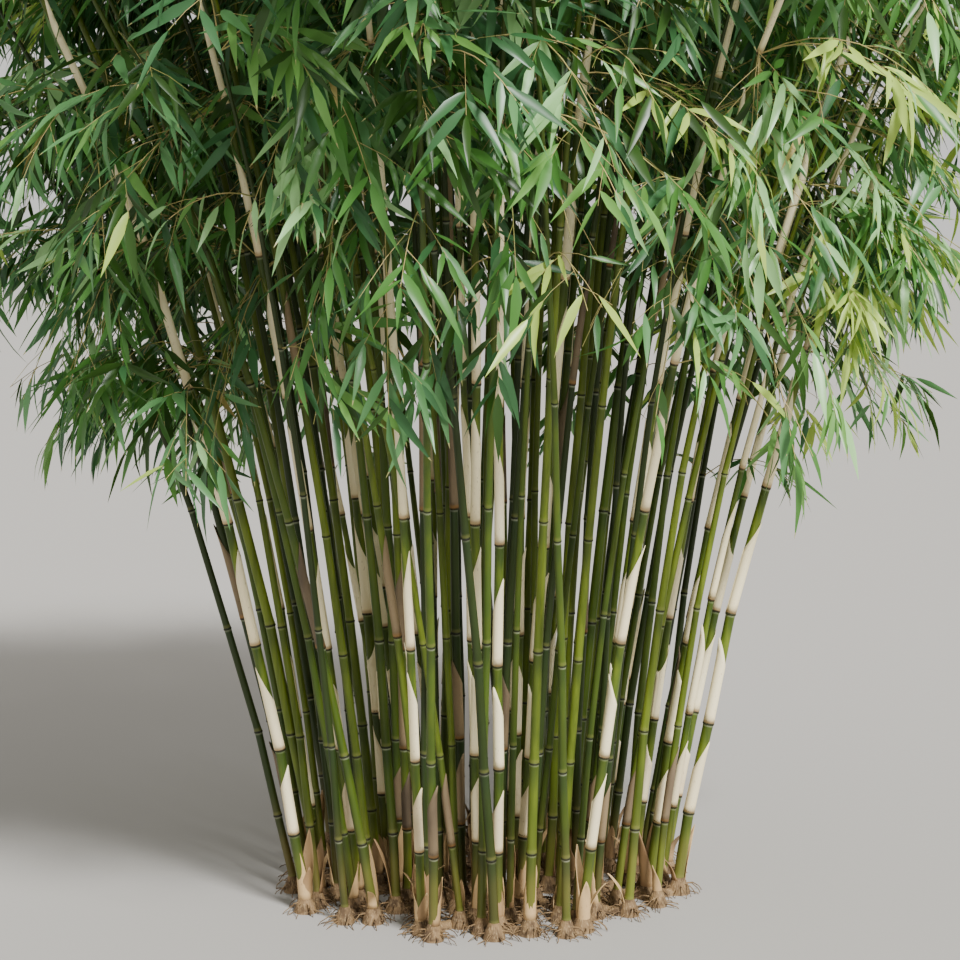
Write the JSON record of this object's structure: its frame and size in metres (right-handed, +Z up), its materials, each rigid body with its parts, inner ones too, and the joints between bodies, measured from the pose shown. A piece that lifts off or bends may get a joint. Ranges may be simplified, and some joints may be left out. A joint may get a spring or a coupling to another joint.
{
  "type": "clump-forming garden bamboo",
  "caption": "Clump of garden bamboo rooted in the ground: a low root crown, a fan of jointed canes with pale sheaths on the young ones, and masses of slim hanging leaves.",
  "frame": {"origin": "on the flat ground cut of the root crown, under the middle cane", "axes": "+Z up along the canes, -Y towards the front of the clump, +X to the right seen from the front"},
  "size_m": [2.2482, 2.3162, 2.6842],
  "materials": {
    "root_crown": "dry, fibrous and matt",
    "green_cane": "smooth, satin, with a pale waxy band under each joint",
    "young_cane": "pale papery sheaths over satin green",
    "leaf": "satin"
  },
  "bodies": {
    "root": {"root_crown": "root_crown", "cane_01": "green_cane", "cane_02": "green_cane", "cane_03": "green_cane", "cane_04": "young_cane", "cane_05": "green_cane", "cane_06": "green_cane", "cane_07": "green_cane", "cane_08": "green_cane", "cane_09": "green_cane", "cane_10": "young_cane", "cane_11": "young_cane", "cane_12": "green_cane", "cane_13": "green_cane", "cane_14": "green_cane", "cane_15": "green_cane", "cane_16": "young_cane", "cane_17": "green_cane", "cane_18": "green_cane", "cane_19": "young_cane", "cane_20": "green_cane", "cane_21": "green_cane", "cane_22": "young_cane", "cane_23": "green_cane", "cane_24": "young_cane", "cane_25": "green_cane", "cane_26": "green_cane", "cane_27": "young_cane", "cane_28": "young_cane", "cane_29": "young_cane", "cane_30": "green_cane", "cane_31": "green_cane", "cane_32": "young_cane", "cane_33": "green_cane", "cane_34": "young_cane", "cane_35": "young_cane", "cane_36": "green_cane", "skirt_foliage_1": "leaf", "skirt_foliage_2": "leaf", "skirt_foliage_3": "leaf", "skirt_foliage_4": "leaf", "skirt_foliage_5": "leaf", "skirt_foliage_6": "leaf", "skirt_foliage_7": "leaf", "shoulder_foliage_1": "leaf", "shoulder_foliage_2": "leaf", "shoulder_foliage_3": "leaf", "shoulder_foliage_4": "leaf", "shoulder_foliage_5": "leaf", "shoulder_foliage_6": "leaf", "canopy_foliage_1": "leaf", "canopy_foliage_2": "leaf", "canopy_foliage_3": "leaf", "canopy_foliage_4": "leaf", "canopy_foliage_5": "leaf", "canopy_foliage_6": "leaf", "top_foliage_1": "leaf", "top_foliage_2": "leaf", "top_foliage_3": "leaf", "crest_foliage_1": "leaf"}
  },
  "joints": []
}
